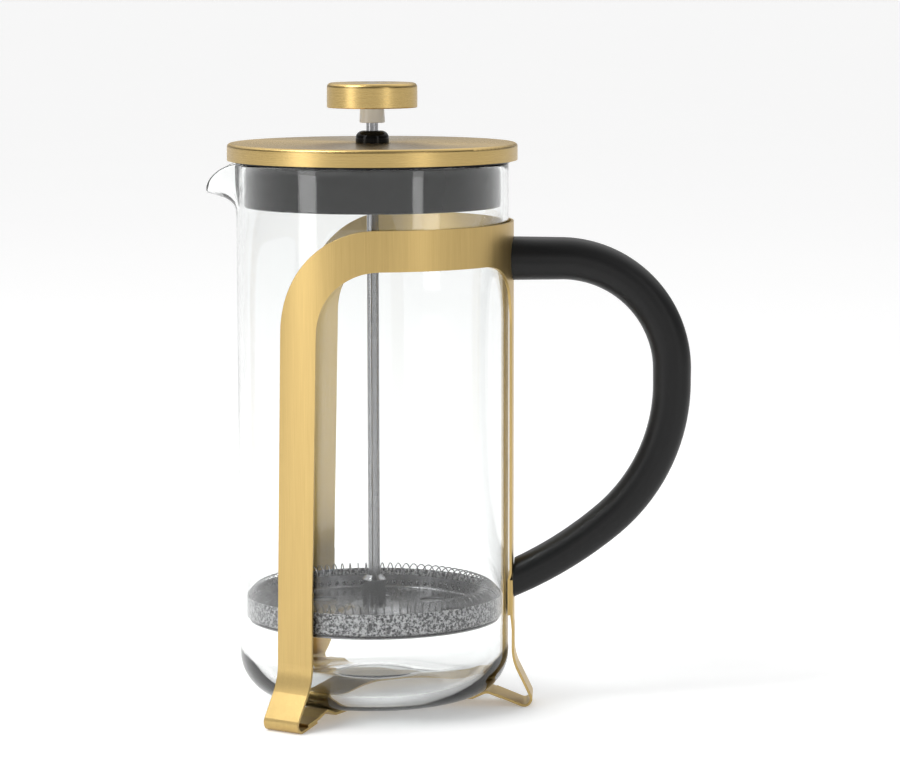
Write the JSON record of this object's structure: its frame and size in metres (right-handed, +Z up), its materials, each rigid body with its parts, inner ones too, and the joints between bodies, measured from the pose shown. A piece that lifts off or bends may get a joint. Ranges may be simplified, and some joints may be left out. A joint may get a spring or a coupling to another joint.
{
  "type": "french press",
  "caption": "Plunger coffee maker: glass beaker in a legged metal frame, lid with sliding rod and round knob, spring-edged filter, D-shaped handle.",
  "frame": {"origin": "on the beaker's axis, in the plane that the three feet stand on", "axes": "+Z up along the beaker's axis, +X towards the handle, the spout points along -X"},
  "size_m": [0.171, 0.1086, 0.2215],
  "materials": {
    "gold_steel": "brushed steel with a gold-coloured coating",
    "bare_steel": "bright stainless steel",
    "woven_steel": "fine woven stainless mesh",
    "insert_brass": "turned brass",
    "handle_black": "matte black, finely textured",
    "lid_black": "gloss black",
    "collar_white": "satin white",
    "beaker_glass": "clear borosilicate glass"
  },
  "bodies": {
    "frame": {"frame_band": "gold_steel", "frame_base": "gold_steel", "handle_grip": "handle_black", "handle_screw_upper": "bare_steel", "handle_screw_lower": "bare_steel", "handle_insert_upper": "insert_brass", "handle_insert_lower": "insert_brass"},
    "beaker": {"glass_beaker": "beaker_glass"},
    "lid": {"lid_cover": "gold_steel", "lid_insert": "lid_black", "lid_bushing": "lid_black", "lid_nut": "bare_steel"},
    "plunger": {"plunger_rod": "bare_steel", "rod_hub": "bare_steel", "knob_cap": "gold_steel", "knob_collar": "collar_white"},
    "filter_stack": {"spiral_plate": "bare_steel", "edge_spring": "bare_steel", "mesh_screen": "woven_steel"},
    "cross_plate": {"cross_plate": "bare_steel", "cross_plate_boss": "bare_steel"}
  },
  "joints": [
    {"name": "beaker_lift", "type": "slide", "parent": "frame", "child": "beaker", "axis": [0, 0, 1], "range_m": [0, 0.175]},
    {"name": "lid_lift", "type": "slide", "parent": "beaker", "child": "lid", "axis": [0, 0, 1], "range_m": [0, 0.175]},
    {"name": "plunger_press", "type": "slide", "parent": "lid", "child": "plunger", "axis": [0, 0, 1], "range_m": [-0.0027, 0.134]},
    {"name": "stack_drop", "type": "slide", "parent": "plunger", "child": "filter_stack", "axis": [0, 0, -1], "range_m": [0, 0.0057]},
    {"name": "cross_plate_turn", "type": "hinge", "parent": "filter_stack", "child": "cross_plate", "pos_m": [0, 0, 0.0317], "axis": [0, 0, -1], "range_deg": [0, 2880]}
  ],
  "couplings": [
    {"joint": "stack_drop", "follows": "cross_plate_turn", "m_per_rad": 0.00011141}
  ]
}
